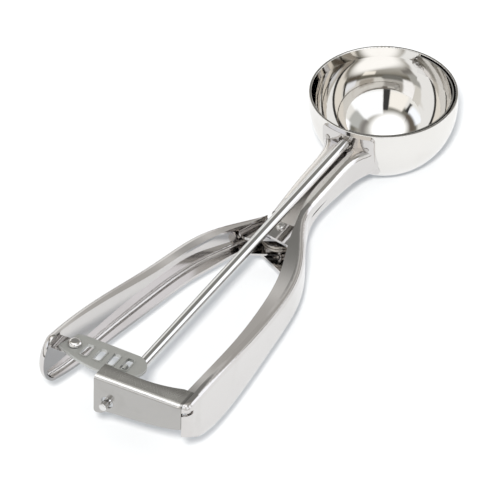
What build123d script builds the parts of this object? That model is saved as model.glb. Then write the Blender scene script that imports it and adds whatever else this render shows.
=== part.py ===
"""Lever ice cream scoop: squeeze handles, rack and pinion, sweeping scraper blade.

Millimetres. X runs from the end arm towards the bowl, Y towards the moving handle and Z up.
The origin is on the table, under the middle of the scoop's length.
"""
import os
from math import cos, degrees, pi, radians, sin

from build123d import *

# overall places, as distances behind the bowl's centre
pivot_distance = 78.0
arm_distance = 208.0
journal_overhang = 3.5
tail_distance = arm_distance + journal_overhang

# bowl
bowl_radius = 28.0
bowl_wall = 1.0
bowl_collar = 4.5
rim_round = 0.25
front_cap_rise = 0.8
bowl_center_x = (tail_distance - bowl_radius - front_cap_rise) / 2
axis_height = bowl_radius
sheet = 1.1

# shaft through the neck
rod_radius = 2.0
rod_nose_distance = bowl_radius - 2.6
shaft_clearance = 0.08
shaft_room_radius = 3.0
journal_radius = 1.5
journal_hole_radius = 2.5
journal_start_distance = arm_distance - journal_overhang

# handle pivot
pivot_x = bowl_center_x - pivot_distance
pin_radius = 1.4
pin_clearance = 0.06
pivot_head_radius = 1.9
pivot_head_rise = 1.2
ear_radius = 5.8
bottom_ear_radius = 8.0
ear_gap = 0.2
fixed_top_ear = -sheet - 6.6
moving_top_ear = fixed_top_ear - ear_gap - sheet
moving_bottom_ear = -16.3
fixed_bottom_ear = moving_bottom_ear - ear_gap - sheet

# handles
neck_half_width = 7.0
groove_half_width = 2.6
ear_edge = neck_half_width - 0.8
rear_half_width = 33.9
grip_radius = 2.8
corner_length = 10.0
fixed_end_distance = arm_distance - corner_length
moving_end_distance = arm_distance - 6.8
moving_corner_distance = moving_end_distance - 6.5
end_round = 4.0
moving_front_distance = pivot_distance - 3.5
neck_front_distance = bowl_radius - 4.0
shoulder_end_distance = pivot_distance - 5.5

# end arm and the corner of the fixed handle
arm_reach = 5.6
arm_top = 10.4
arm_edge_radius = 1.8
arm_corner_radius = 5.0
arm_depth_at_tip = 6.4
arm_depth_at_seam = 0.4
arm_tip_round = 1.2
arm_flange_corner_y = -(rear_half_width - 6.9)
grip_end_depth = 10.2
corner_depth_at_grip = 8.2
corner_depth_at_seam = 3.6
seam_y = -(rear_half_width - 2.8)
seam_gap = 0.12
relief_length = 4.6
relief_height = 1.6
relief_bottom = 5.6
bead_radius = 2.1
bead_inset = 1.5
bead_height = 8.2
bead_angle = 35.0

# rack and pinion
rack_pitch = 5.65
window_count = 4
pinion_teeth = 6
pitch_radius = pinion_teeth * rack_pitch / (2 * pi)
tooth_tip_radius = 6.4
tooth_root_radius = 3.8
tooth_half_base = 1.15
tooth_half_tip = 0.5
pinion_width = 2.6
pinion_distance = arm_distance - 15.1
first_window_y = 1.0
window_width = 3.0
window_length = 6.8
window_corner = 0.7
window_lip = 0.45
window_lip_rise = 0.3
window_distance = pinion_distance - 1.5
rack_bottom = 4.9
rack_thickness = 1.1
rack_half_width = 7.0
rack_edge_round = 0.3
rack_corner = 0.6
rack_rivet_distance = arm_distance - 17.5
rack_rivet_y = 23.7
rack_head_radius = 2.7
rack_head_rise = 1.5
rack_ear_half_width = 3.6
rack_ear_tip = 2.7

# scraper
scraper_gap = 0.35
scraper_thickness = 0.5
scraper_half_width = 4.2
scraper_end_half_width = 3.9
rod_eye_radius = 3.4
pin_eye_radius = 2.2
scraper_radius = bowl_radius - bowl_wall - scraper_gap
front_pin_radius = 0.9
front_pin_proud = 0.1

# bowl strap
strap_half_width = 10.9
strap_top = 3.4
strap_bottom = -16.0
strap_corner = 1.5
weld_side = 8.3
weld_height = -1.2
weld_radius = 0.9
weld_rise = 0.25

# spring
coil_radius = 6.4
wire_radius = 0.6
coil_pitch = 1.3
leg_angle = 58.5
coil_turns = 2 + 2 * leg_angle / 360
coil_start = -13.9
spring_leg = 14.5

os.makedirs("parts", exist_ok=True)


def plan_points(stations):
    """Plan curve points from (distance behind the bowl, half width) pairs."""
    return [(bowl_center_x - distance, half_width) for distance, half_width in stations]


def side_points(stations):
    """Side curve points from (distance behind the bowl, height above the shaft) pairs."""
    return [(bowl_center_x - distance, axis_height + rise) for distance, rise in stations]


def grip_plan(end_distance, shares):
    """Plan stations of a grip from its shares of the way back and of the way out.

    The way back runs from the pivot to the grip's end, the way out from the neck's side
    to the widest place at the rear.
    """
    length = end_distance - pivot_distance
    spread = rear_half_width - neck_half_width
    return [(pivot_distance + back * length, neck_half_width + out * spread) for back, out in shares]


def grip_side(end_distance, levels):
    """Side stations of a grip from (share of the way back from the pivot, height) pairs."""
    length = end_distance - pivot_distance
    return [(pivot_distance + back * length, level) for back, level in levels]


# neck that flares into the strap at the bowl
neck_outline = [
    (neck_front_distance, neck_half_width + 4.4),
    (bowl_radius - 0.5, neck_half_width + 3.1),
    (bowl_radius + 3.0, neck_half_width + 1.4),
    (bowl_radius + 7.0, neck_half_width + 0.4),
    (bowl_radius + 12.0, neck_half_width),
    (pivot_distance - 26.0, neck_half_width),
    (pivot_distance - 14.0, neck_half_width),
]
fixed_outline = [
    *neck_outline,
    (pivot_distance - 7.0, neck_half_width + 0.9),
    *grip_plan(
        fixed_end_distance,
        [(0, 0.141), (0.1, 0.379), (0.183, 0.543), (0.283, 0.669), (0.433, 0.777), (0.725, 0.926), (1, 1)],
    ),
]
fixed_inner = [
    (neck_front_distance, groove_half_width),
    (pivot_distance - 34.0, groove_half_width),
    (pivot_distance - 16.0, groove_half_width + 0.1),
    (pivot_distance - 3.0, groove_half_width + 2.9),
    *grip_plan(
        fixed_end_distance,
        [(0.083, 0.082), (0.175, 0.234), (0.258, 0.357), (0.433, 0.528), (0.683, 0.706), (1, 0.796)],
    ),
]
fixed_top = [
    (neck_front_distance, -2.0),
    *grip_side(fixed_end_distance, [(0.1, -2.2), (0.35, -0.8), (0.6, 3.7), (0.85, 8.9), (1, arm_top)]),
]
fixed_bottom = [
    (neck_front_distance, -13.0),
    (pivot_distance - 28.0, -12.2),
    (pivot_distance - 12.0, -12.4),
    (pivot_distance - 2.0, -16.4),
    *grip_side(
        fixed_end_distance,
        [(0.067, -17.6), (0.35, -16.2), (0.683, -15.2), (0.85, -14.5), (0.933, -13.0), (1, -grip_end_depth)],
    ),
]

moving_outline = [
    (moving_front_distance, neck_half_width + 1.8),
    *grip_plan(
        moving_end_distance,
        [(0, 0.141), (0.098, 0.379), (0.18, 0.543), (0.279, 0.669), (0.426, 0.777), (0.713, 0.926), (1, 1)],
    ),
]
moving_inner = [
    (moving_front_distance, neck_half_width + 0.4),
    *grip_plan(
        moving_end_distance,
        [(0.033, 0.074), (0.107, 0.205), (0.197, 0.338), (0.262, 0.428), (0.426, 0.558), (0.672, 0.721)],
    ),
    *grip_plan(moving_end_distance, [(1, 0.885)]),
]
moving_top = [
    (moving_front_distance, -5.8),
    *grip_side(
        moving_corner_distance,
        [(0.035, -4.9), (0.104, -3.4), (0.208, -1.8), (0.364, -0.8), (0.623, 3.7), (0.883, 8.6), (1, 9.8)],
    ),
]
moving_bottom = [
    (moving_front_distance, moving_bottom_ear),
    *grip_side(
        moving_corner_distance,
        [(0.19, -16.6), (0.364, -16.2), (0.71, -15.0), (0.866, -14.0), (1, -11.0)],
    ),
]


def inset_points(points, amount):
    """Points moved square to the smooth curve through the given points."""
    curve = Spline(*points)
    moved = []
    for point in points:
        tangent = curve.tangent_at(point)
        moved.append((point[0] + amount * tangent.Y, point[1] - amount * tangent.X))
    return moved


def handle_solid(outline, inner, top, bottom, bulge, inset, radius):
    """Solid of a handle on the +Y side, or of the room inside its sheet when inset.

    The outer long edges are rounded. Its stations run backwards, so a positive inset
    moves the outline inwards.
    """
    outer_points = inset_points(plan_points(outline), -inset)
    inner_points = plan_points(inner)
    top_points = inset_points(side_points(top), -inset)
    bottom_points = inset_points(side_points(bottom), inset)
    front_x = bowl_center_x - outline[0][0]
    rear_x = bowl_center_x - outline[-1][0]
    with BuildPart() as block:
        with BuildSketch(Plane.XY):
            with BuildLine():
                outer_curve = Spline(*outer_points)
                inner_curve = Spline(*inner_points)
                Line(outer_curve @ 0, inner_curve @ 0)
                Line(outer_curve @ 1, inner_curve @ 1)
            make_face()
        extrude(amount=2 * axis_height)
        with BuildSketch(Plane.XZ) as side:
            with BuildLine():
                top_curve = Spline(*top_points)
                bottom_curve = Spline(*bottom_points)
                Line(top_curve @ 0, bottom_curve @ 0)
                if bulge > 0:
                    rear_middle = (top_curve @ 1 + bottom_curve @ 1) / 2
                    ThreePointArc(top_curve @ 1, rear_middle - (bulge - inset, 0), bottom_curve @ 1)
                else:
                    Line(top_curve @ 1, bottom_curve @ 1)
            make_face()
            if bulge > 0:
                fillet(side.vertices().sort_by(Axis.X)[:2], radius=end_round - inset)
        extrude(amount=2 * rear_half_width, both=True, mode=Mode.INTERSECT)
        side_walls = block.faces().filter_by(lambda face: abs(face.normal_at().Z) < 0.2)
        outer_wall = side_walls.filter_by(lambda face: face.normal_at().Y > 0.4)
        rims = outer_wall.edges().filter_by(Axis.Z, reverse=True)
        fillet(rims, radius=radius)
        if inset > 0:
            if bulge == 0:
                split(bisect_by=Plane.YZ.offset(rear_x + inset), keep=Keep.TOP)
            split(bisect_by=Plane.YZ.offset(front_x - inset), keep=Keep.BOTTOM)
    return block.part


def bowl_outside(radius):
    """Solid half ball with its straight collar, reaching a little above the rim."""
    with BuildPart() as ball:
        with Locations((bowl_center_x, 0, axis_height)):
            Sphere(radius, arc_size1=-90, arc_size2=0, align=None)
            Cylinder(radius, bowl_collar, align=(Align.CENTER, Align.CENTER, Align.MIN))
    return ball.part


def domed_head(radius, rise):
    """Rivet head standing on the origin, rounded over its top."""
    with BuildPart() as cap:
        Cylinder(radius, rise, align=(Align.CENTER, Align.CENTER, Align.MIN))
        fillet(cap.edges().group_by(Axis.Z)[-1], radius=0.9 * rise)
    return cap.part


# bowl
outside = bowl_outside(bowl_radius)
inside = bowl_outside(bowl_radius - bowl_wall)
with BuildPart() as bowl:
    add(outside)
    add(inside, mode=Mode.SUBTRACT)
    fillet(bowl.edges().group_by(Axis.Z)[-1], radius=rim_round)
    with Locations(Location((bowl_center_x - bowl_radius, 0, axis_height), (0, 90, 0))):
        Cylinder(rod_radius + shaft_clearance, 4 * bowl_wall, mode=Mode.SUBTRACT)
    with Locations(Location((bowl_center_x + bowl_radius, 0, axis_height), (0, 90, 0))):
        Cylinder(front_pin_radius, 4 * bowl_wall, mode=Mode.SUBTRACT)
bowl.part.label = "bowl"
export_step(bowl.part, "parts/bowl.step")


# fixed handle: neck, bowl strap, pivot ears and right handle in one pressing
fixed_block = handle_solid(fixed_outline, fixed_inner, fixed_top, fixed_bottom, 0, 0, grip_radius)
fixed_reach = [(neck_front_distance, -neck_half_width), (fixed_end_distance, -neck_half_width)]
fixed_hollow = handle_solid(
    fixed_outline, fixed_reach, fixed_top, fixed_bottom, 0, sheet, grip_radius - sheet
)
# shoulder that closes the neck on the moving handle's side
shoulder_outline = [*neck_outline, (shoulder_end_distance, neck_half_width)]
shoulder_inner = [
    (neck_front_distance, groove_half_width),
    (pivot_distance - 16.0, groove_half_width + 0.1),
    (shoulder_end_distance, groove_half_width + 2.2),
]
shoulder_reach = [(neck_front_distance, -neck_half_width), (shoulder_end_distance, -neck_half_width)]
shoulder_top = [(neck_front_distance, -2.0), (pivot_distance - 22.0, -2.4), (shoulder_end_distance, -4.6)]
shoulder_bottom = [(neck_front_distance, -13.0), (shoulder_end_distance, -12.6)]
shoulder_block = handle_solid(
    shoulder_outline, shoulder_inner, shoulder_top, shoulder_bottom, 0, 0, grip_radius
)
shoulder_hollow = handle_solid(
    shoulder_outline, shoulder_reach, shoulder_top, shoulder_bottom, 0, sheet, grip_radius - sheet
)
with BuildPart() as shoulder:
    add(shoulder_block)
    add(shoulder_hollow, mode=Mode.SUBTRACT)

strap_outside = bowl_outside(bowl_radius + sheet)
with BuildPart() as strap:
    with Locations((bowl_center_x - bowl_radius, 0, axis_height + strap_bottom)):
        Box(
            bowl_radius,
            2 * strap_half_width,
            strap_top - strap_bottom,
            align=(Align.CENTER, Align.CENTER, Align.MIN),
        )
    fillet(strap.edges().filter_by(Axis.X), radius=strap_corner)
    add(strap_outside, mode=Mode.INTERSECT)

# rear wall that turns the corner behind the right handle, with a flange along its top
rear_x = bowl_center_x - arm_distance
rear_front_x = bowl_center_x - fixed_end_distance
turn_x = rear_x + arm_corner_radius
turn_y = -rear_half_width + arm_corner_radius
flange_run = arm_reach - arm_flange_corner_y
with BuildPart() as rear_room:
    with BuildSketch(Plane.XY):
        with BuildLine():
            Line((rear_front_x, 2 * arm_reach), (rear_x + sheet, 2 * arm_reach))
            Line((rear_x + sheet, 2 * arm_reach), (rear_x + sheet, turn_y))
            RadiusArc((rear_x + sheet, turn_y), (turn_x, sheet - rear_half_width), sheet - arm_corner_radius)
            Line((turn_x, -rear_half_width + sheet), (rear_front_x, -rear_half_width + sheet))
            Line((rear_front_x, -rear_half_width + sheet), (rear_front_x, 2 * arm_reach))
        make_face()
    extrude(amount=axis_height + arm_top - sheet)
with BuildPart() as rear_wall:
    with BuildSketch(Plane.XY):
        with BuildLine():
            Line((rear_front_x - 1.7, arm_reach), (rear_x, arm_reach))
            Line((rear_x, arm_reach), (rear_x, turn_y))
            RadiusArc((rear_x, turn_y), (turn_x, -rear_half_width), -arm_corner_radius)
            Line((turn_x, -rear_half_width), (rear_front_x, -rear_half_width))
            Line((rear_front_x, -rear_half_width), (rear_front_x, arm_flange_corner_y))
            Spline(
                (rear_front_x, arm_flange_corner_y),
                (rear_front_x - 1.8, arm_reach - 0.782 * flange_run),
                (rear_front_x - 2.6, arm_reach - 0.555 * flange_run),
                (rear_front_x - 2.4, arm_reach - 0.288 * flange_run),
                (rear_front_x - 1.7, arm_reach),
            )
        make_face()
    extrude(amount=axis_height + arm_top)
    top_face = rear_wall.faces().sort_by(Axis.Z)[-1]
    back_edges = top_face.edges().filter_by(lambda edge: edge.center().X < rear_front_x - 3)
    back_edges = back_edges.filter_by(lambda edge: edge.center().Y < arm_reach - 1)
    turned_edges = top_face.edges().filter_by(lambda edge: edge.center().Y < -rear_half_width + 2)
    fillet(back_edges + turned_edges, radius=arm_edge_radius)
    add(rear_room.part, mode=Mode.SUBTRACT)

# corner behind the seam: its lower edge sweeps up, and a bead closes the folded flange
with BuildPart() as rear_corner:
    add(rear_wall.part)
    with BuildSketch(Plane.XZ):
        with BuildLine():
            Spline(
                (rear_front_x, axis_height - corner_depth_at_grip),
                (rear_front_x - 0.55 * corner_length, axis_height - 5.3),
                (rear_x, axis_height - corner_depth_at_seam),
            )
            Polyline(
                (rear_x, axis_height - corner_depth_at_seam),
                (rear_x, axis_height + arm_top),
                (rear_front_x, axis_height + arm_top),
                (rear_front_x, axis_height - corner_depth_at_grip),
            )
        make_face()
    extrude(amount=2 * rear_half_width, mode=Mode.INTERSECT)
    with Locations((rear_x, seam_y, axis_height + relief_bottom)):
        Box(
            2 * relief_length,
            2 * arm_corner_radius,
            relief_height,
            align=(Align.CENTER, Align.MAX, Align.MIN),
            mode=Mode.SUBTRACT,
        )
    bead_reach = arm_corner_radius - bead_inset
    with Locations(
        (
            turn_x - bead_reach * sin(radians(bead_angle)),
            turn_y - bead_reach * cos(radians(bead_angle)),
            axis_height + bead_height,
        )
    ):
        Sphere(bead_radius)
    split(bisect_by=Plane.XZ.offset(-seam_y), keep=Keep.TOP)

with BuildPart() as fixed_handle:
    add(fixed_block)
    add(fixed_hollow, mode=Mode.SUBTRACT)
    mirror(about=Plane.XZ, mode=Mode.REPLACE)
    add(rear_corner.part)
    add(shoulder.part)
    # top ear, which is also the floor of the rod's groove
    with BuildSketch(Plane.XY.offset(axis_height + fixed_top_ear)):
        with BuildLine():
            Polyline(
                (bowl_center_x - neck_front_distance, ear_edge),
                (bowl_center_x - shoulder_end_distance, ear_edge),
                (pivot_x - 6.0, ear_edge - 2.2),
                (pivot_x - 8.2, -ear_edge - 0.7),
                (pivot_x - 11.0, -ear_edge - 9.2),
                (pivot_x, -ear_edge - 3.7),
                (bowl_center_x - shoulder_end_distance, -ear_edge - 1.2),
                (bowl_center_x - neck_front_distance, -ear_edge),
                close=True,
            )
        make_face()
        with Locations((pivot_x, 0)):
            Circle(ear_radius)
    extrude(amount=sheet)
    # bottom ear
    with BuildSketch(Plane.XY.offset(axis_height + fixed_bottom_ear)):
        with Locations((pivot_x, 0)):
            Circle(bottom_ear_radius)
        with Locations((pivot_x - 9.0, -9.6)):
            Circle(4.4)
        make_hull()
    extrude(amount=sheet)
    # rivet hole through both ears
    with Locations((pivot_x, 0, axis_height - 12)):
        Cylinder(pin_radius, 30, mode=Mode.SUBTRACT)
    # strap round the back of the bowl, with room for the rod
    add(strap.part)
    add(outside, mode=Mode.SUBTRACT)
    with Locations(Location((bowl_center_x - bowl_radius, 0, axis_height), (0, 90, 0))):
        Cylinder(shaft_room_radius, 12, mode=Mode.SUBTRACT)
fixed_handle.part.label = "fixed_handle"
export_step(fixed_handle.part, "parts/fixed_handle.step")


# spot welds of the strap, flattened onto its outside
weld_outside = bowl_outside(bowl_radius + sheet + weld_rise)
with BuildPart() as strap_welds:
    with Locations(
        Location((bowl_center_x - bowl_radius, weld_side, axis_height + weld_height), (0, 90, 0)),
        Location((bowl_center_x - bowl_radius, -weld_side, axis_height + weld_height), (0, 90, 0)),
    ):
        Cylinder(weld_radius, 20)
    add(weld_outside, mode=Mode.INTERSECT)
    add(strap_outside, mode=Mode.SUBTRACT)
strap_welds.part.label = "strap_welds"
export_step(strap_welds.part, "parts/strap_welds.step")


# end arm: rear wall between the seam and the rod's journal, with a rounded tab at its tip
with BuildPart() as end_arm:
    add(rear_wall.part)
    split(bisect_by=Plane.XZ.offset(-seam_y - seam_gap), keep=Keep.BOTTOM)
    with BuildSketch(Plane.YZ):
        with BuildLine():
            FilletPolyline(
                (arm_reach, axis_height + arm_top),
                (arm_reach, axis_height - arm_depth_at_tip),
                (arm_reach - 3.2, axis_height - arm_depth_at_tip + 0.7),
                (arm_reach - 5.0, axis_height - 4.3),
                radius=arm_tip_round,
            )
            Spline(
                (arm_reach - 5.0, axis_height - 4.3),
                (arm_reach - 0.28 * (arm_reach - seam_y), axis_height - 3.9),
                (arm_reach - 0.63 * (arm_reach - seam_y), axis_height - 2.9),
                (seam_y, axis_height - arm_depth_at_seam),
            )
            Polyline(
                (seam_y, axis_height - arm_depth_at_seam),
                (seam_y, axis_height + arm_top),
                (arm_reach, axis_height + arm_top),
            )
        make_face()
    extrude(amount=arm_distance, both=True, mode=Mode.INTERSECT)
    with Locations(Location((rear_x, 0, axis_height), (0, 90, 0))):
        Cylinder(journal_hole_radius, 4 * sheet, mode=Mode.SUBTRACT)
end_arm.part.label = "end_arm"
export_step(end_arm.part, "parts/end_arm.step")


# moving handle: left handle with two pivot ears, an ear for the rack and a turned-in rear end
moving_bulge = moving_end_distance - moving_corner_distance
moving_block = handle_solid(
    moving_outline, moving_inner, moving_top, moving_bottom, moving_bulge, 0, grip_radius
)
moving_reach = [(moving_front_distance, -neck_half_width), (moving_end_distance, -neck_half_width)]
moving_hollow = handle_solid(
    moving_outline, moving_reach, moving_top, moving_bottom, moving_bulge, sheet, grip_radius - sheet
)
moving_field = handle_solid(
    moving_outline, moving_reach, moving_top, moving_bottom, moving_bulge, sheet / 2, grip_radius - sheet / 2
)
with BuildPart() as moving_ears:
    with BuildSketch(
        Plane.XY.offset(axis_height + moving_top_ear),
        Plane.XY.offset(axis_height + moving_bottom_ear),
    ):
        with Locations((pivot_x, 0)):
            Circle(ear_radius)
        with Locations((pivot_x - 6.0, 9.2)):
            Circle(4.7)
        make_hull()
    extrude(amount=sheet)
    add(moving_field, mode=Mode.INTERSECT)
    with Locations(
        (pivot_x, 0, axis_height + moving_top_ear),
        (pivot_x, 0, axis_height + moving_bottom_ear),
    ):
        Cylinder(ear_radius, sheet, align=(Align.CENTER, Align.CENTER, Align.MIN))

with BuildPart() as rack_ear:
    with Locations(
        (
            bowl_center_x - rack_rivet_distance,
            rack_rivet_y - rack_ear_tip,
            axis_height + rack_bottom - ear_gap,
        )
    ):
        Box(2 * rack_ear_half_width, 20, sheet, align=(Align.CENTER, Align.MIN, Align.MAX))
    fillet(rack_ear.edges().filter_by(Axis.Z).group_by(Axis.Y)[0], radius=rack_ear_tip - 0.2)
    add(moving_field, mode=Mode.INTERSECT)

with BuildPart() as moving_handle:
    add(moving_block)
    add(moving_hollow, mode=Mode.SUBTRACT)
    # top flange stays clear of the fixed top ear
    with Locations((pivot_x - 4.0, 0, axis_height + moving_top_ear + sheet)):
        Box(16, 15.2, 8, align=(Align.CENTER, Align.CENTER, Align.MIN), mode=Mode.SUBTRACT)
    add(moving_ears.part)
    add(rack_ear.part)
    with Locations((pivot_x, 0, axis_height - 12)):
        Cylinder(pin_radius + pin_clearance, 30, mode=Mode.SUBTRACT)
    with Locations((bowl_center_x - rack_rivet_distance, rack_rivet_y, axis_height)):
        Cylinder(pin_radius, 16, mode=Mode.SUBTRACT)
moving_handle.part.label = "moving_handle"
export_step(moving_handle.part, "parts/moving_handle.step")


# pivot rivet, domed above the top ear and below the bottom ear
with BuildPart() as pivot_rivet:
    with Locations((pivot_x, 0, axis_height + fixed_bottom_ear)):
        Cylinder(
            pin_radius,
            fixed_top_ear + sheet - fixed_bottom_ear,
            align=(Align.CENTER, Align.CENTER, Align.MIN),
        )
    pivot_cap = domed_head(pivot_head_radius, pivot_head_rise)
    add(pivot_cap.moved(Location((pivot_x, 0, axis_height + fixed_top_ear + sheet))))
    add(pivot_cap.moved(Location((pivot_x, 0, axis_height + fixed_bottom_ear), (180, 0, 0))))
pivot_rivet.part.label = "pivot_rivet"
export_step(pivot_rivet.part, "parts/pivot_rivet.step")


# return spring: open coil round the pivot rivet with a leg into each handle
with BuildPart() as return_spring:
    with BuildLine() as wire:
        coil = Helix(
            coil_pitch,
            coil_pitch * coil_turns,
            coil_radius,
        )
        first_leg = Line(coil @ 0, (coil @ 0) - (coil % 0) * spring_leg)
        Line(coil @ 1, (coil @ 1) + (coil % 1) * spring_leg)
    with BuildSketch(Plane(origin=first_leg @ 1, z_dir=coil % 0)):
        Circle(wire_radius)
    sweep()
spring_place = Location((pivot_x, 0, axis_height + coil_start), (0, 0, -leg_angle))
return_spring.part.locate(spring_place)
return_spring.part.label = "return_spring"
export_step(return_spring.part, "parts/return_spring.step")


# rack: windowed strip with a round end, hung on the moving handle's rack rivet
rack_x = bowl_center_x - window_distance
rack_rivet_x = bowl_center_x - rack_rivet_distance
rack_windows = [(rack_x, first_window_y + step * rack_pitch) for step in range(window_count)]
with BuildPart() as rack:
    with BuildSketch(Plane.XY.offset(axis_height + rack_bottom)) as rack_plan:
        with BuildLine():
            Line((rack_rivet_x + 6.0, rack_rivet_y + 1.8), (rack_rivet_x + 6.6, rack_rivet_y - 2.1))
            Line((rack_rivet_x + 6.6, rack_rivet_y - 2.1), (rack_x + rack_half_width, 0.5))
            ThreePointArc(
                (rack_x + rack_half_width, 0.5),
                (rack_x, 0.5 - rack_half_width),
                (rack_x - rack_half_width, 0.5),
            )
            Spline(
                (rack_x - rack_half_width, 0.5),
                (rack_x - rack_half_width - 1.0, 9.1),
                (rack_rivet_x - 7.3, rack_rivet_y - 5.2),
                (rack_rivet_x - 3.4, rack_rivet_y + 5.3),
            )
            Line((rack_rivet_x - 3.4, rack_rivet_y + 5.3), (rack_rivet_x + 6.0, rack_rivet_y + 1.8))
        make_face()
        fillet(rack_plan.vertices().sort_by(Axis.Y)[-3:], radius=rack_corner)
    extrude(amount=rack_thickness)
    fillet(rack.edges().group_by(Axis.Z)[-1], radius=rack_edge_round)
    with BuildSketch(Plane.XY.offset(axis_height + rack_bottom + rack_thickness)):
        with Locations(*rack_windows):
            RectangleRounded(
                window_length + 2 * window_lip, window_width + 2 * window_lip, window_corner + window_lip
            )
    extrude(amount=window_lip_rise)
    with BuildSketch(Plane.XY.offset(axis_height + rack_bottom)):
        with Locations(*rack_windows):
            RectangleRounded(window_length, window_width, window_corner)
        with Locations((rack_rivet_x, rack_rivet_y)):
            Circle(pin_radius + pin_clearance)
    extrude(amount=rack_thickness + window_lip_rise, mode=Mode.SUBTRACT)
rack.part.label = "rack"
export_step(rack.part, "parts/rack.step")


# rack rivet, flush below the ear and domed above the rack
with BuildPart() as rack_rivet:
    with Locations(
        (rack_rivet_x, rack_rivet_y, axis_height + rack_bottom - ear_gap - sheet)
    ):
        Cylinder(
            pin_radius,
            rack_thickness + 2 * ear_gap + sheet,
            align=(Align.CENTER, Align.CENTER, Align.MIN),
        )
    rack_cap = domed_head(rack_head_radius, rack_head_rise)
    add(
        rack_cap.moved(
            Location(
                (
                    rack_rivet_x,
                    rack_rivet_y,
                    axis_height + rack_bottom + rack_thickness + ear_gap,
                )
            )
        )
    )
rack_rivet.part.label = "rack_rivet"
export_step(rack_rivet.part, "parts/rack_rivet.step")


# rod from the scraper, through the neck, to the journal in the end arm
with BuildPart() as centre_rod:
    with Locations(Location((bowl_center_x - journal_start_distance, 0, axis_height), (0, 90, 0))):
        Cylinder(
            rod_radius,
            journal_start_distance - rod_nose_distance,
            align=(Align.CENTER, Align.CENTER, Align.MIN),
        )
    with Locations(Location((bowl_center_x - tail_distance, 0, axis_height), (0, 90, 0))):
        Cylinder(
            journal_radius,
            tail_distance - journal_start_distance,
            align=(Align.CENTER, Align.CENTER, Align.MIN),
        )
    fillet(centre_rod.edges().group_by(Axis.X)[0], radius=0.5)
centre_rod.part.label = "centre_rod"
export_step(centre_rod.part, "parts/centre_rod.step")


# pinion on the rod, one tooth standing in the nearest window of the rack
tooth_lean = degrees(first_window_y / pitch_radius)
with BuildPart() as pinion:
    with BuildSketch(Plane.YZ.offset(bowl_center_x - pinion_distance - pinion_width / 2)):
        with Locations((0, axis_height)):
            Circle(tooth_root_radius)
            with PolarLocations(0, pinion_teeth, start_angle=90 - tooth_lean):
                Polygon(
                    (rod_radius, -tooth_half_base),
                    (tooth_root_radius, -tooth_half_base),
                    (tooth_tip_radius, -tooth_half_tip),
                    (tooth_tip_radius, tooth_half_tip),
                    (tooth_root_radius, tooth_half_base),
                    (rod_radius, tooth_half_base),
                    align=None,
                )
            Circle(rod_radius, mode=Mode.SUBTRACT)
    extrude(amount=pinion_width)
pinion.part.label = "pinion"
export_step(pinion.part, "parts/pinion.step")


# scraper: thin band that follows the ball, with an eye at each end
with BuildPart() as ball_shell:
    with Locations((bowl_center_x, 0, axis_height)):
        Sphere(scraper_radius)
        Sphere(scraper_radius - scraper_thickness, mode=Mode.SUBTRACT)
with BuildPart() as scraper:
    with BuildSketch(Plane.XZ):
        with BuildLine():
            Spline(
                (bowl_center_x - bowl_radius, axis_height + scraper_end_half_width),
                (bowl_center_x, axis_height + scraper_half_width),
                (bowl_center_x + bowl_radius, axis_height + scraper_end_half_width),
            )
            Spline(
                (bowl_center_x - bowl_radius, axis_height - scraper_end_half_width),
                (bowl_center_x, axis_height - scraper_half_width),
                (bowl_center_x + bowl_radius, axis_height - scraper_end_half_width),
            )
            Line(
                (bowl_center_x - bowl_radius, axis_height + scraper_end_half_width),
                (bowl_center_x - bowl_radius, axis_height - scraper_end_half_width),
            )
            Line(
                (bowl_center_x + bowl_radius, axis_height + scraper_end_half_width),
                (bowl_center_x + bowl_radius, axis_height - scraper_end_half_width),
            )
        make_face()
    extrude(amount=bowl_radius)
    with Locations(Location((bowl_center_x, 0, axis_height), (0, -90, 0))):
        Cylinder(rod_eye_radius, bowl_radius, align=(Align.CENTER, Align.CENTER, Align.MIN))
    with Locations(Location((bowl_center_x, 0, axis_height), (0, 90, 0))):
        Cylinder(pin_eye_radius, bowl_radius, align=(Align.CENTER, Align.CENTER, Align.MIN))
    add(ball_shell.part, mode=Mode.INTERSECT)
    with Locations(Location((bowl_center_x - bowl_radius, 0, axis_height), (0, 90, 0))):
        Cylinder(rod_radius, bowl_radius, mode=Mode.SUBTRACT)
    with Locations(Location((bowl_center_x + bowl_radius, 0, axis_height), (0, 90, 0))):
        Cylinder(front_pin_radius + pin_clearance, bowl_radius, mode=Mode.SUBTRACT)
scraper.part.label = "scraper"
export_step(scraper.part, "parts/scraper.step")


# front pin through the bowl's front wall, with a head outside
with BuildPart() as front_pin:
    inner_end_x = bowl_center_x + scraper_radius - scraper_thickness - front_pin_proud
    cap_x = bowl_center_x + bowl_radius
    with Locations(Location((inner_end_x, 0, axis_height), (0, 90, 0))):
        Cylinder(front_pin_radius, cap_x - inner_end_x, align=(Align.CENTER, Align.CENTER, Align.MIN))
    outer_cap = domed_head(pivot_head_radius, front_cap_rise)
    add(outer_cap.moved(Location((cap_x, 0, axis_height), (0, 90, 0))))
front_pin.part.label = "front_pin"
export_step(front_pin.part, "parts/front_pin.step")
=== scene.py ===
"""Looks of the lever ice cream scoop: finishes of its steel pieces, its floor, light and camera."""

import logging
import math
from dataclasses import dataclass, field
from enum import Enum

import bmesh
import bpy
from mathutils import Matrix, Vector


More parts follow.
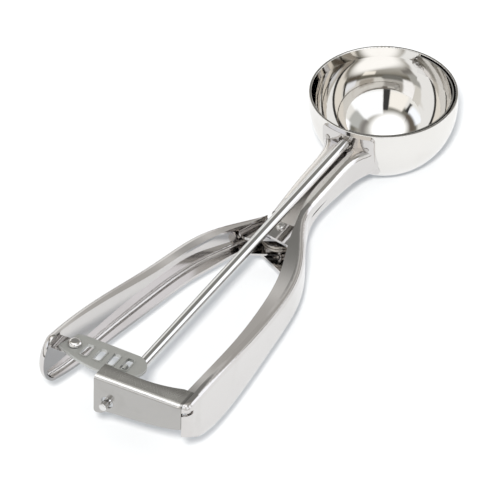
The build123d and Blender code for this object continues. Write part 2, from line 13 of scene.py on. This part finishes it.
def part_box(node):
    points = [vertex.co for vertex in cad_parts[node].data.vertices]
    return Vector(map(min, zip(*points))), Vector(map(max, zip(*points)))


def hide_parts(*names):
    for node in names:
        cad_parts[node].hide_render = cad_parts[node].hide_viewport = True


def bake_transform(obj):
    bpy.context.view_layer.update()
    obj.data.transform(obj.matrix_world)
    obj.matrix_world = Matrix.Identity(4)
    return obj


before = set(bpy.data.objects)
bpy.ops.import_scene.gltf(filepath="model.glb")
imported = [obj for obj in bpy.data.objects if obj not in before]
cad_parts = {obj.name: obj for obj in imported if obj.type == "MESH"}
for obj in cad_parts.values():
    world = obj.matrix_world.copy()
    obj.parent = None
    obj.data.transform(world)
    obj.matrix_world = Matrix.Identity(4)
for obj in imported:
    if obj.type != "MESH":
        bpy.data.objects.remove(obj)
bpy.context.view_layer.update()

log = logging.getLogger("scoop")

MM = 0.001
MICRON = 0.000001

# outside radius of the bowl, which sets how close its spun lines stand
BALL_RADIUS = 28.0 * MM

# degrees from the floor to the point straight above, and half way round
ZENITH = 90.0
HALF_TURN = 180.0

Tone = tuple[float, float, float]
Colour = tuple[float, float, float, float]
Point = tuple[float, float, float]


class Grain(Enum):
    """How the fine lines of a finish run over a piece."""

    ALONG = "along the tool"
    ACROSS = "across the tool"
    UPRIGHT = "up and down"
    SPUN = "in rings round the upright middle of a ball"
    TURNED = "in rings round an upright pin"
    TUMBLED = "in no direction"


GRAIN_AXIS = {
    Grain.ALONG: Vector((1.0, 0.0, 0.0)),
    Grain.ACROSS: Vector((0.0, 1.0, 0.0)),
    Grain.UPRIGHT: Vector((0.0, 0.0, 1.0)),
}


def heading(azimuth: float, elevation: float) -> Vector:
    """Turns two angles into a direction.

    Args:
        azimuth: degrees round the upright axis.
        elevation: degrees above the floor.

    Returns:
        The direction, one unit long.
    """
    turn, rise = math.radians(azimuth), math.radians(elevation)
    level = math.cos(rise)
    return Vector((level * math.cos(turn), level * math.sin(turn), math.sin(rise)))


class Signal:
    """One output socket of a shader tree, with Python's operators as Math nodes."""

    def __init__(self, shader: "Shader", socket: bpy.types.NodeSocket) -> None:
        """Wraps an output socket of a shader's tree."""
        self.shader = shader
        self.socket = socket

    def __add__(self, other: "Signal | float") -> "Signal":
        """The sum of two values."""
        return self.shader.math("ADD", self, other)

    __radd__ = __add__

    def __mul__(self, other: "Signal | float") -> "Signal":
        """The product of two values."""
        return self.shader.math("MULTIPLY", self, other)

    __rmul__ = __mul__

    def __sub__(self, other: "Signal | float") -> "Signal":
        """The difference of two values."""
        return self.shader.math("SUBTRACT", self, other)

    def __rsub__(self, other: float) -> "Signal":
        """The difference, with the number first."""
        return self.shader.math("SUBTRACT", other, self)

    def __truediv__(self, other: "Signal | float") -> "Signal":
        """The ratio of two values."""
        return self.shader.math("DIVIDE", self, other)

    def __rtruediv__(self, other: float) -> "Signal":
        """The ratio, with the number first."""
        return self.shader.math("DIVIDE", other, self)

    def __abs__(self) -> "Signal":
        """The size of a value, without its sign."""
        return self.shader.math("ABSOLUTE", self)

    def step(self, low: float, high: float) -> "Signal":
        """A smooth step.

        Args:
            low: the value at which the step starts.
            high: the value at which it is full.

        Returns:
            0 below low, 1 above high, and a smooth rise between.
        """
        settings = {"interpolation_type": "SMOOTHSTEP"}
        inputs = {"Value": self, "From Min": low, "From Max": high}
        return self.shader.node("ShaderNodeMapRange", settings, inputs)


class Shader:
    """A node tree that is filled from Python expressions."""

    def __init__(self, tree: bpy.types.NodeTree) -> None:
        """Starts from an empty tree."""
        self.tree = tree
        tree.nodes.clear()

    def add(self, kind: str, settings: dict, inputs: dict) -> bpy.types.Node:
        """Adds one node.

        Args:
            kind: the node's type.
            settings: its properties, which are set first.
            inputs: values or signals by socket name or number.

        Returns:
            The node.
        """
        made = self.tree.nodes.new(kind)
        for name, value in settings.items():
            setattr(made, name, value)
        for key, value in inputs.items():
            if isinstance(value, Signal):
                self.tree.links.new(value.socket, made.inputs[key])
            else:
                made.inputs[key].default_value = value
        return made

    def node(self, kind: str, settings: dict, inputs: dict, output: int | str = 0) -> Signal:
        """Adds one node and takes one of its outputs, by name or number."""
        return Signal(self, self.add(kind, settings, inputs).outputs[output])

    def math(self, operation: str, *values: Signal | float) -> Signal:
        """The result of one Math node that is fed with values in order."""
        return self.node("ShaderNodeMath", {"operation": operation}, dict(enumerate(values)))

    def place(self) -> Signal:
        """Where a point lies in its object, in metres."""
        return self.node("ShaderNodeTexCoord", {}, {}, "Object")

    def direction(self) -> Signal:
        """The direction in which a ray leaves the scene."""
        return self.node("ShaderNodeTexCoord", {}, {}, "Generated")

    def parts(self, vector: Signal) -> tuple[Signal, Signal, Signal]:
        """The three numbers of a vector."""
        split = self.add("ShaderNodeSeparateXYZ", {}, {"Vector": vector})
        return tuple(Signal(self, socket) for socket in split.outputs)

    def dot(self, vector: Signal, axis: Vector) -> Signal:
        """How far a vector goes along an axis."""
        settings = {"operation": "DOT_PRODUCT"}
        return self.node("ShaderNodeVectorMath", settings, {0: vector, 1: axis}, "Value")

    def moved(self, vector: Signal, centre: Vector) -> Signal:
        """A vector measured from another point."""
        return self.node("ShaderNodeVectorMath", {"operation": "SUBTRACT"}, {0: vector, 1: centre})

    def mapped(self, vector: Signal, scale: Vector, turn: float = 0.0) -> Signal:
        """A vector stretched along each axis.

        Args:
            vector: the vector.
            scale: its stretch along each axis.
            turn: degrees that it is turned about the upright axis before that.

        Returns:
            The stretched vector.
        """
        if turn:
            angles = Vector((0.0, 0.0, math.radians(turn)))
            vector = self.node("ShaderNodeMapping", {}, {"Vector": vector, "Rotation": angles})
        return self.node("ShaderNodeMapping", {}, {"Vector": vector, "Scale": scale})

    def ripple(self, value: Signal, detail: float) -> Signal:
        """Soft random lines across a value, from 0 to 1, with this many finer layers."""
        inputs = {"W": value, "Scale": 1.0, "Detail": detail}
        return self.node("ShaderNodeTexNoise", {"noise_dimensions": "1D"}, inputs)

    def noise(self, vector: Signal, scale: float, detail: float) -> Signal:
        """Soft random spots, from 0 to 1, so many per unit and with this many finer layers."""
        inputs = {"Vector": vector, "Scale": scale, "Detail": detail}
        return self.node("ShaderNodeTexNoise", {}, inputs)

    def ramp(self, factor: Signal, stops: list[tuple[float, Tone]]) -> Signal:
        """A colour that changes with a value.

        Args:
            factor: the value, from 0 to 1.
            stops: places and colours in rising order.

        Returns:
            The colour.
        """
        made = self.add("ShaderNodeValToRGB", {}, {"Fac": factor})
        elements = made.color_ramp.elements
        elements.remove(elements[1])
        elements[0].position, elements[0].color = stops[0][0], (*stops[0][1], 1.0)
        for place, tone in stops[1:]:
            elements.new(place).color = (*tone, 1.0)
        return Signal(self, made.outputs["Color"])

    def blend(self, factor: Signal, first: Signal | Colour, second: Signal | Colour) -> Signal:
        """A colour between two colours.

        Args:
            factor: 0 for the first and 1 for the second.
            first: a colour or a signal.
            second: a colour or a signal.

        Returns:
            The mixed colour.
        """
        # a Mix node has sockets for each kind of value, and these are its colour sockets
        first_socket, second_socket, result_socket = 6, 7, 2
        inputs = {"Factor": factor, first_socket: first, second_socket: second}
        return self.node("ShaderNodeMix", {"data_type": "RGBA"}, inputs, result_socket)


@dataclass(frozen=True)
class PaintedPatch:
    """A box, in millimetres, where light or shade is painted over a piece's colour, and the piece
    is made a little rougher.
    """

    low: Point
    high: Point
    tone: Tone
    dulling: float
    edge: float = 0.3

    def mask(self, shader: Shader, place: Signal) -> Signal:
        """How far a point lies inside the patch.

        Args:
            shader: the material's tree.
            place: where the point lies.

        Returns:
            1 inside, 0 outside, with a soft edge between.
        """
        inside = None
        for coordinate, low, high in zip(shader.parts(place), self.low, self.high):
            away = abs(coordinate - (low + high) / 2.0 * MM)
            half = (high - low) / 2.0
            share = 1.0 - away.step((half - self.edge) * MM, (half + self.edge) * MM)
            inside = share if inside is None else inside * share
        return inside


@dataclass(frozen=True)
class Marks:
    """How lines, scratches and smudges look, which is the same on every steel piece."""

    # lines and scratches are this many times as long as they are wide
    length: float = 60.0
    scratch_width: float = 0.12 * MM
    # and scratches this many times as tall
    scratch_height: float = 3.0
    scratch_turns: tuple[float, ...] = (24.0, -37.0)
    scratch_start: float = 0.66
    scratch_full: float = 0.76
    # smudges are this many times as wide as dents
    smudge_spread: float = 1.7
    smudge_start: float = 0.5
    smudge_full: float = 0.8
    # shares of the stain's tone that each brings
    line_stain: float = 0.3
    scratch_stain: float = 0.2
    smudge_stain: float = 0.5
    # and the share of a finish's wear by which lines roughen it
    line_roughness: float = 0.6

    def scratches(self, shader: Shader, place: Signal) -> Signal:
        """Handling scratches.

        Args:
            shader: the material's tree.
            place: where a point lies.

        Returns:
            0 beside a scratch and 1 in its middle, and more where two cross.
        """
        across = 1.0 / self.scratch_width
        scale = Vector((across / self.length, across, across / self.scratch_height))
        total = None
        for turn in self.scratch_turns:
            mark = shader.noise(shader.mapped(place, scale, turn), scale=1.0, detail=1.0)
            mark = mark.step(self.scratch_start, self.scratch_full)
            total = mark if total is None else total + mark
        return total

    def smudges(self, shader: Shader, place: Signal, dent_size: float) -> Signal:
        """Smudges of handling, from 0 to 1, wider than the dents by their spread."""
        cloud = shader.noise(place, scale=1.0 / (dent_size * self.smudge_spread), detail=3.0)
        return cloud.step(self.smudge_start, self.smudge_full)


MARKS = Marks()


@dataclass(frozen=True)
class SteelFinish:
    """A polished, ground or tumbled steel surface, with its sizes in metres.

    Its colour, its roughness and the depth of its lines vary over the surface: fine lines
    of the tool that shaped it, handling scratches across them, smudges and shallow dents.
    Some finishes also carry patches of painted shade, painted highlight and painted reflection.
    """

    name: str
    colour: Tone
    stain: Tone
    roughness: float
    wear: float
    grain: Grain
    grain_width: float
    grain_depth: float
    dent_size: float
    dent_depth: float
    painted_patches: tuple[PaintedPatch, ...] = ()

    def lines(self, shader: Shader, place: Signal, centre: Vector) -> Signal:
        """The fine lines left by the tool.

        Args:
            shader: the material's tree.
            place: where a point lies.
            centre: middle of the rings of a spun or turned finish.

        Returns:
            The lines, from 0 to 1.
        """
        if self.grain in GRAIN_AXIS:
            across = 1.0 / self.grain_width
            along = across / MARKS.length
            scale = Vector([along if part else across for part in GRAIN_AXIS[self.grain]])
            return shader.noise(shader.mapped(place, scale), scale=1.0, detail=3.0)
        if self.grain is Grain.TUMBLED:
            return shader.noise(place, scale=1.0 / self.grain_width, detail=4.0)
        x, y, z = shader.parts(shader.moved(place, centre))
        reach = shader.math("SQRT", x * x + y * y)
        if self.grain is Grain.TURNED:
            return shader.ripple(reach / self.grain_width, detail=2.0)
        angle = shader.math("ARCTAN2", reach, z * -1.0)
        return shader.ripple(angle * (BALL_RADIUS / self.grain_width), detail=2.0)

    def material(self, centre: Vector) -> bpy.types.Material:
        """Builds the finish.

        Args:
            centre: middle of the rings of a spun or turned finish.

        Returns:
            The material, ready for a piece's slot.
        """
        made = bpy.data.materials.new(self.name)
        made.use_nodes = True
        shader = Shader(made.node_tree)
        place = shader.place()
        lines = self.lines(shader, place, centre)
        scratches = MARKS.scratches(shader, place)
        smudges = MARKS.smudges(shader, place, self.dent_size)
        dents = shader.noise(place, scale=1.0 / self.dent_size, detail=1.0)
        rough = self.roughness + (lines - 0.5) * (self.wear * MARKS.line_roughness)
        rough = rough + smudges * self.wear + scratches * self.wear
        stained = smudges * MARKS.smudge_stain + lines * MARKS.line_stain
        stained = stained + scratches * MARKS.scratch_stain
        tone = shader.blend(stained, (*self.colour, 1.0), (*self.stain, 1.0))
        # painted light: each patch paints its tone over the steel's colour and dulls it a little
        for painted_patch in self.painted_patches:
            mask = painted_patch.mask(shader, place)
            tone = shader.blend(mask, tone, (*painted_patch.tone, 1.0))
            rough = rough + mask * painted_patch.dulling
        height = lines * self.grain_depth + dents * self.dent_depth - scratches * self.grain_depth
        relief = {"Strength": 1.0, "Distance": 1.0, "Height": height}
        normal = shader.node("ShaderNodeBump", {}, relief, "Normal")
        steel = {"Base Color": tone, "Metallic": 1.0, "Roughness": rough, "Normal": normal}
        surface = shader.node("ShaderNodeBsdfPrincipled", {}, steel)
        shader.add("ShaderNodeOutputMaterial", {}, {"Surface": surface})
        return made


# painted shade: the top of the rim is painted a dark grey
RIM_TOP_PAINTED_SHADE = PaintedPatch(
    low=(60.0, -32.0, 32.55),
    high=(125.0, 32.0, 34.5),
    tone=(0.36, 0.34, 0.31),
    dulling=0.05,
    edge=0.15,
)
# painted highlight: the ledges beside the neck's groove are painted lighter than the steel
NECK_LEDGE_PAINTED_HIGHLIGHT = PaintedPatch(
    low=(26.0, -6.5, 24.0),
    high=(61.5, 6.5, 33.0),
    tone=(0.80, 0.77, 0.74),
    dulling=0.10,
    edge=0.5,
)
# painted light: the groove under the rod is painted light against the shade that falls in it, and
# made rougher
NECK_GROOVE_PAINTED_LIGHT = PaintedPatch(
    low=(16.0, -4.4, 20.0),
    high=(61.5, 4.4, 31.5),
    tone=(0.86, 0.83, 0.80),
    dulling=0.40,
)
# painted reflection: the flat top of the end arm's flange is painted a lighter grey
ARM_FLANGE_PAINTED_REFLECTION = PaintedPatch(
    low=(-118.0, -30.0, 38.0),
    high=(-100.0, 10.0, 39.5),
    tone=(0.56, 0.55, 0.53),
    dulling=0.10,
)
# painted shade: a dark band with soft edges along the inner part of the flange
ARM_INSIDE_PAINTED_SHADE = PaintedPatch(
    low=(-110.5, -30.0, 38.0),
    high=(-96.0, 10.0, 39.5),
    tone=(0.26, 0.25, 0.24),
    dulling=0.02,
    edge=1.8,
)
# painted highlight: a near-white strip along the fold at the flange's outer edge
ARM_FOLD_PAINTED_HIGHLIGHT = PaintedPatch(
    low=(-118.5, -30.0, 37.6),
    high=(-114.6, 10.0, 39.5),
    tone=(0.95, 0.94, 0.92),
    dulling=0.10,
    edge=0.5,
)

SPUN_BOWL = SteelFinish(
    name="spun_bowl_steel",
    colour=(0.790, 0.775, 0.750),
    stain=(0.72, 0.69, 0.655),
    roughness=0.03,
    wear=0.03,
    grain=Grain.SPUN,
    grain_width=0.30 * MM,
    grain_depth=0.6 * MICRON,
    dent_size=12.0 * MM,
    dent_depth=2.0 * MICRON,
    painted_patches=(RIM_TOP_PAINTED_SHADE,),
)
BRIGHT_PRESSING = SteelFinish(
    name="bright_pressed_steel",
    colour=(0.650, 0.630, 0.618),
    stain=(0.57, 0.55, 0.53),
    roughness=0.07,
    wear=0.05,
    grain=Grain.ALONG,
    grain_width=0.10 * MM,
    grain_depth=0.4 * MICRON,
    dent_size=10.0 * MM,
    dent_depth=3.0 * MICRON,
    painted_patches=(NECK_LEDGE_PAINTED_HIGHLIGHT, NECK_GROOVE_PAINTED_LIGHT),
)
SATIN_PLATE = SteelFinish(
    name="satin_plate_steel",
    # the end arm's plate is coloured darker than the other pressings
    colour=(0.440, 0.430, 0.415),
    stain=(0.37, 0.36, 0.345),
    roughness=0.13,
    wear=0.06,
    grain=Grain.ACROSS,
    grain_width=0.16 * MM,
    grain_depth=0.8 * MICRON,
    dent_size=6.0 * MM,
    dent_depth=3.0 * MICRON,
    painted_patches=(ARM_FLANGE_PAINTED_REFLECTION, ARM_INSIDE_PAINTED_SHADE, ARM_FOLD_PAINTED_HIGHLIGHT),
)
WELD_SPOT = SteelFinish(
    name="weld_spot_steel",
    colour=(0.50, 0.48, 0.46),
    stain=(0.42, 0.40, 0.37),
    roughness=0.14,
    wear=0.08,
    grain=Grain.TUMBLED,
    grain_width=0.20 * MM,
    grain_depth=1.0 * MICRON,
    dent_size=2.0 * MM,
    dent_depth=2.0 * MICRON,
)
DRAWN_ROD = SteelFinish(
    name="drawn_rod_steel",
    colour=(0.740, 0.730, 0.720),
    stain=(0.64, 0.63, 0.61),
    roughness=0.10,
    wear=0.06,
    grain=Grain.ALONG,
    grain_width=0.08 * MM,
    grain_depth=0.5 * MICRON,
    dent_size=8.0 * MM,
    dent_depth=1.0 * MICRON,
)
TUMBLED_GEAR = SteelFinish(
    name="tumbled_gear_steel",
    colour=(0.560, 0.565, 0.545),
    stain=(0.44, 0.44, 0.42),
    roughness=0.46,
    wear=0.12,
    grain=Grain.TUMBLED,
    grain_width=0.45 * MM,
    grain_depth=6.0 * MICRON,
    dent_size=4.0 * MM,
    dent_depth=4.0 * MICRON,
)
TURNED_RIVET = SteelFinish(
    name="turned_rivet_steel",
    colour=(0.760, 0.750, 0.735),
    stain=(0.64, 0.62, 0.59),
    roughness=0.09,
    wear=0.06,
    grain=Grain.TURNED,
    grain_width=0.12 * MM,
    grain_depth=0.6 * MICRON,
    dent_size=2.0 * MM,
    dent_depth=1.0 * MICRON,
)
SPRING_WIRE = SteelFinish(
    name="spring_wire_steel",
    colour=(0.50, 0.47, 0.43),
    stain=(0.38, 0.35, 0.31),
    roughness=0.16,
    wear=0.08,
    grain=Grain.TUMBLED,
    grain_width=0.20 * MM,
    grain_depth=0.6 * MICRON,
    dent_size=2.0 * MM,
    dent_depth=1.0 * MICRON,
)
BLADE_STRIP = SteelFinish(
    name="blade_strip_steel",
    colour=(0.750, 0.735, 0.715),
    stain=(0.66, 0.63, 0.60),
    roughness=0.06,
    wear=0.06,
    grain=Grain.UPRIGHT,
    grain_width=0.10 * MM,
    grain_depth=0.6 * MICRON,
    dent_size=4.0 * MM,
    dent_depth=2.0 * MICRON,
)


@dataclass
class SubAssembly:
    """Pieces that belong together, and the finish of each."""

    finishes: dict[str, SteelFinish]

    def dress(self) -> None:
        """Gives each piece its finish and reports it."""
        for name, finish in self.finishes.items():
            low, high = (Vector(corner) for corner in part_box(name))
            material = finish.material((low + high) / 2.0)
            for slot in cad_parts[name].material_slots:
                slot.material = material
            log.info("%s: %s, %.1f mm long", name, finish.name, (high - low).x / MM)


@dataclass
class Bowl(SubAssembly):
    """Spun bowl, with the strap's spot welds beside it."""

    finishes: dict[str, SteelFinish] = field(
        default_factory=lambda: {"bowl": SPUN_BOWL, "strap_welds": WELD_SPOT}
    )


@dataclass
class Handles(SubAssembly):
    """The two pressed handles, their pivot and the spring between them, in millimetres."""

    finishes: dict[str, SteelFinish] = field(
        default_factory=lambda: {
            "fixed_handle": BRIGHT_PRESSING,
            "end_arm": SATIN_PLATE,
            "moving_handle": BRIGHT_PRESSING,
            "pivot_rivet": TURNED_RIVET,
            "return_spring": SPRING_WIRE,
        }
    )
    lower_leg_top: float = 14.7
    upper_leg_bottom: float = 16.5

    def dress(self) -> None:
        """Gives each piece its finish and puts a copy of the spring in its place."""
        super().dress()
        self.wind()

    def wind(self) -> None:
        """Puts a copy of the spring, with its finishes, in the spring piece's place and hides the
        piece.
        """
        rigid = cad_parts["return_spring"]
        made = bpy.data.objects.new("wound_spring", rigid.data.copy())
        made.matrix_world = rigid.matrix_world
        bpy.context.scene.collection.objects.link(made)
        for slot, dressed in zip(made.material_slots, rigid.material_slots):
            slot.material = dressed.material
        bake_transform(made)
        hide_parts("return_spring")


@dataclass
class Drive(SubAssembly):
    """Rack, pinion and rod, which turn the squeeze into a sweep."""

    finishes: dict[str, SteelFinish] = field(
        default_factory=lambda: {
            "rack": TUMBLED_GEAR,
            "rack_rivet": TURNED_RIVET,
            "centre_rod": DRAWN_ROD,
            "pinion": TUMBLED_GEAR,
        }
    )


@dataclass
class Sweeper(SubAssembly):
    """The scraper band inside the bowl and the pin that carries its far end."""

    finishes: dict[str, SteelFinish] = field(
        default_factory=lambda: {"scraper": BLADE_STRIP, "front_pin": TURNED_RIVET}
    )


@dataclass(frozen=True)
class Dome:
    """The round diffuser over the scoop, in degrees as seen from it."""

    azimuth: float = 150.0
    elevation: float = 80.0
    radius: float = 25.0
    edge: float = 8.0
    tone: Tone = (1.45, 1.47, 1.50)

    def laid_over(self, shader: Shader, tent: Signal, direction: Signal) -> Signal:
        """Lays the diffuser over the tent.

        Args:
            shader: the world's tree.
            tent: the colour so far.
            direction: the ray's direction.

        Returns:
            The colour with the diffuser in it.
        """
        axis = heading(self.azimuth, self.elevation)
        low = math.cos(math.radians(self.radius + self.edge))
        high = math.cos(math.radians(self.radius - self.edge))
        inside = shader.dot(direction, axis).step(low, high)
        return shader.blend(inside, tent, (*self.tone, 1.0))


@dataclass(frozen=True)
class Card:
    """A sheet or a gap in the tent, in degrees as seen from the scoop."""

    name: str
    azimuth: float
    elevation: float
    width: float
    height: float
    tone: Tone
    edge: float

    def laid_over(self, shader: Shader, tent: Signal, azimuth: Signal, elevation: Signal) -> Signal:
        """Lays the card over the tent.

        Args:
            shader: the world's tree.
            tent: the colour so far.
            azimuth: the ray's azimuth.
            elevation: the ray's elevation.

        Returns:
            The colour with this card in it.
        """
        turn = shader.math("WRAP", azimuth - self.azimuth, -HALF_TURN, HALF_TURN)
        beside = abs(turn).step(self.width / 2.0 - self.edge, self.width / 2.0 + self.edge)
        above = abs(elevation - self.elevation)
        past = above.step(self.height / 2.0 - self.edge, self.height / 2.0 + self.edge)
        inside = (1.0 - beside) * (1.0 - past)
        return shader.blend(inside, tent, (*self.tone, 1.0))


# cloth of the tent, by degrees above the floor
TENT: list[tuple[float, Tone]] = [
    (0.0, (0.16, 0.15, 0.13)),
    (4.0, (0.20, 0.19, 0.17)),
    (8.0, (0.95, 0.95, 0.94)),
    (37.0, (0.90, 0.90, 0.88)),
    (42.0, (0.18, 0.175, 0.15)),
    (47.0, (0.20, 0.19, 0.165)),
    (52.0, (0.36, 0.35, 0.32)),
    (60.0, (0.48, 0.47, 0.44)),
    (70.0, (0.60, 0.60, 0.58)),
    (90.0, (0.70, 0.70, 0.69)),
]

# near is the camera's side of the scoop, and left and right are as the camera sees them;
# a card covers those that stand before it in this list
CARDS = [
    Card("near right sheet", azimuth=240.0, elevation=40.0, width=62.0, height=38.0,
         tone=(1.15, 1.18, 1.22), edge=3.0),
    Card("near left sheet", azimuth=180.0, elevation=34.0, width=34.0, height=26.0,
         tone=(1.05, 1.02, 0.97), edge=3.0),
    Card("right grey sheet", azimuth=285.0, elevation=47.0, width=36.0, height=18.0,
         tone=(0.52, 0.53, 0.52), edge=4.0),
    Card("right upper gap", azimuth=290.0, elevation=60.0, width=50.0, height=8.0,
         tone=(0.26, 0.25, 0.24), edge=4.0),
    Card("right window", azimuth=315.0, elevation=20.0, width=34.0, height=40.0,
         tone=(1.35, 1.38, 1.45), edge=4.0),
    Card("far right gap", azimuth=0.0, elevation=40.0, width=60.0, height=16.0,
         tone=(0.24, 0.24, 0.23), edge=5.0),
    Card("far gap that level faces mirror", azimuth=29.0, elevation=38.5, width=12.0, height=6.0,
         tone=(0.22, 0.22, 0.21), edge=2.5),
    Card("far right grey sheet", azimuth=0.0, elevation=20.0, width=56.0, height=20.0,
         tone=(0.45, 0.44, 0.42), edge=6.0),
    Card("far low gap", azimuth=25.0, elevation=6.0, width=16.0, height=10.0,
         tone=(0.22, 0.20, 0.18), edge=3.0),
    Card("far left sheet", azimuth=80.0, elevation=55.0, width=44.0, height=10.0,
         tone=(1.25, 1.22, 1.15), edge=3.0),
    Card("far left grey sheet", azimuth=80.0, elevation=30.0, width=44.0, height=18.0,
         tone=(0.50, 0.47, 0.43), edge=5.0),
    Card("left gap", azimuth=128.0, elevation=47.0, width=44.0, height=9.0,
         tone=(0.14, 0.12, 0.10), edge=4.0),
    Card("left window", azimuth=132.0, elevation=36.0, width=34.0, height=11.0,
         tone=(1.10, 1.15, 1.25), edge=3.0),
    Card("left seam", azimuth=154.0, elevation=36.0, width=7.0, height=15.0,
         tone=(0.05, 0.05, 0.05), edge=1.5),
    Card("near seam", azimuth=203.0, elevation=34.0, width=12.0, height=37.0,
         tone=(0.05, 0.05, 0.05), edge=1.5),
]


@dataclass(frozen=True)
class Floor:
    """The pale paper under the scoop, with its size in metres."""

    half_width: float = 3.0
    tone: Tone = (0.50, 0.50, 0.50)
    roughness: float = 0.9
    glow: float = 0.19
    glow_tone: Tone = (0.80, 0.89, 1.0)

    def lay(self) -> None:
        """Lays the paper and reports it."""
        mesh = bpy.data.meshes.new("floor")
        work = bmesh.new()
        bmesh.ops.create_grid(work, x_segments=1, y_segments=1, size=self.half_width)
        work.to_mesh(mesh)
        work.free()
        made = bpy.data.objects.new("floor", mesh)
        bpy.context.scene.collection.objects.link(made)
        mesh.materials.append(self.paper())
        log.info("floor: %.1f m wide", self.half_width * 2.0)

    def paper(self) -> bpy.types.Material:
        """Pale paper that glows evenly.

        Returns:
            The material, ready for the floor.
        """
        made = bpy.data.materials.new("floor_paper")
        made.use_nodes = True
        shader = Shader(made.node_tree)
        inputs = {
            "Base Color": (*self.tone, 1.0),
            "Roughness": self.roughness,
            "Emission Color": (*self.glow_tone, 1.0),
            "Emission Strength": self.glow,
        }
        surface = shader.node("ShaderNodeBsdfPrincipled", {}, inputs)
        shader.add("ShaderNodeOutputMaterial", {}, {"Surface": surface})
        return made


@dataclass(frozen=True)
class Camera:
    """The camera's own axes, and the point that it looks at.

    That point is given from the middle of the bowl's rim, in millimetres along those axes.
    """

    lens: float = 1440.0
    sensor_width: float = 36.0
    # metres to the point that it looks at, and to the nearest and farthest that it sees
    distance: float = 7.485
    nearest: float = 0.1
    farthest: float = 50.0
    right: Point = (0.4929, -0.8700, 0.0096)
    up: Point = (0.5380, 0.3134, 0.7825)
    forward: Point = (0.6838, 0.3806, -0.6225)
    rim_middle: Point = (91.35, 0.0, 32.3)
    left_of_rim: float = 50.45
    below_rim: float = 57.49

    def place(self) -> None:
        """Places the camera and reports it."""
        lens = bpy.data.cameras.new("camera")
        lens.sensor_width = self.sensor_width
        lens.lens = self.lens
        lens.clip_start = self.nearest
        lens.clip_end = self.farthest
        made = bpy.data.objects.new("camera", lens)
        right, up, forward = Vector(self.right), Vector(self.up), Vector(self.forward)
        turn = Matrix((right, up, -forward)).transposed().to_4x4()
        aim = (Vector(self.rim_middle) - self.left_of_rim * right - self.below_rim * up) * MM
        turn.translation = aim - self.distance * forward
        made.matrix_world = turn
        bpy.context.scene.collection.objects.link(made)
        bpy.context.scene.camera = made
        log.info("camera: %.1f m away", self.distance)


@dataclass(frozen=True)
class Light:
    """The cloth tent round the scoop, and a soft lamp near the camera for the floor's shadows."""

    brightness: float = 1.12
    lamp_azimuth: float = 206.0
    lamp_elevation: float = 42.5
    lamp_strength: float = 4.8
    lamp_width: float = 5.0
    lamp_tone: Tone = (1.0, 0.985, 0.96)

    def hang(self) -> None:
        """Hangs the tent and the lamp."""
        self.hang_tent()
        self.hang_lamp()

    def hang_tent(self) -> None:
        """Hangs the tent with its cards and its round diffuser, and reports them."""
        world = bpy.data.worlds.new("studio")
        bpy.context.scene.world = world
        world.use_nodes = True
        shader = Shader(world.node_tree)
        direction = shader.direction()
        x, y, z = shader.parts(direction)
        azimuth = shader.math("ARCTAN2", y, x) * math.degrees(1.0)
        elevation = shader.math("ARCSINE", z) * math.degrees(1.0)
        tent = shader.ramp(elevation / ZENITH, [(height / ZENITH, tone) for height, tone in TENT])
        for card in CARDS:
            tent = card.laid_over(shader, tent, azimuth, elevation)
            log.info("%s: %.0f by %.0f degrees", card.name, card.width, card.height)
        tent = Dome().laid_over(shader, tent, direction)
        inputs = {"Color": tent, "Strength": self.brightness}
        glow = shader.node("ShaderNodeBackground", {}, inputs)
        shader.add("ShaderNodeOutputWorld", {}, {"Surface": glow})
        bpy.context.scene.view_settings.view_transform = "Standard"
        log.info("tent: %d cards and a diffuser", len(CARDS))

    def hang_lamp(self) -> None:
        """Hangs the lamp, which the steel doesn't mirror, and reports it."""
        lamp = bpy.data.lights.new("lamp", "SUN")
        lamp.energy = self.lamp_strength
        lamp.color = self.lamp_tone
        lamp.angle = math.radians(self.lamp_width)
        towards = heading(self.lamp_azimuth, self.lamp_elevation)
        made = bpy.data.objects.new("lamp", lamp)
        made.matrix_world = towards.to_track_quat("Z", "Y").to_matrix().to_4x4()
        made.visible_glossy = False
        bpy.context.scene.collection.objects.link(made)
        log.info("lamp: %.1f degrees up", self.lamp_elevation)


def main() -> None:
    """Dresses the scoop and sets up its studio."""
    logging.basicConfig(level=logging.INFO, format="%(message)s")
    for assembly in (Bowl(), Handles(), Drive(), Sweeper()):
        assembly.dress()
    Floor().lay()
    Camera().place()
    Light().hang()


if __name__ == "__main__":
    main()
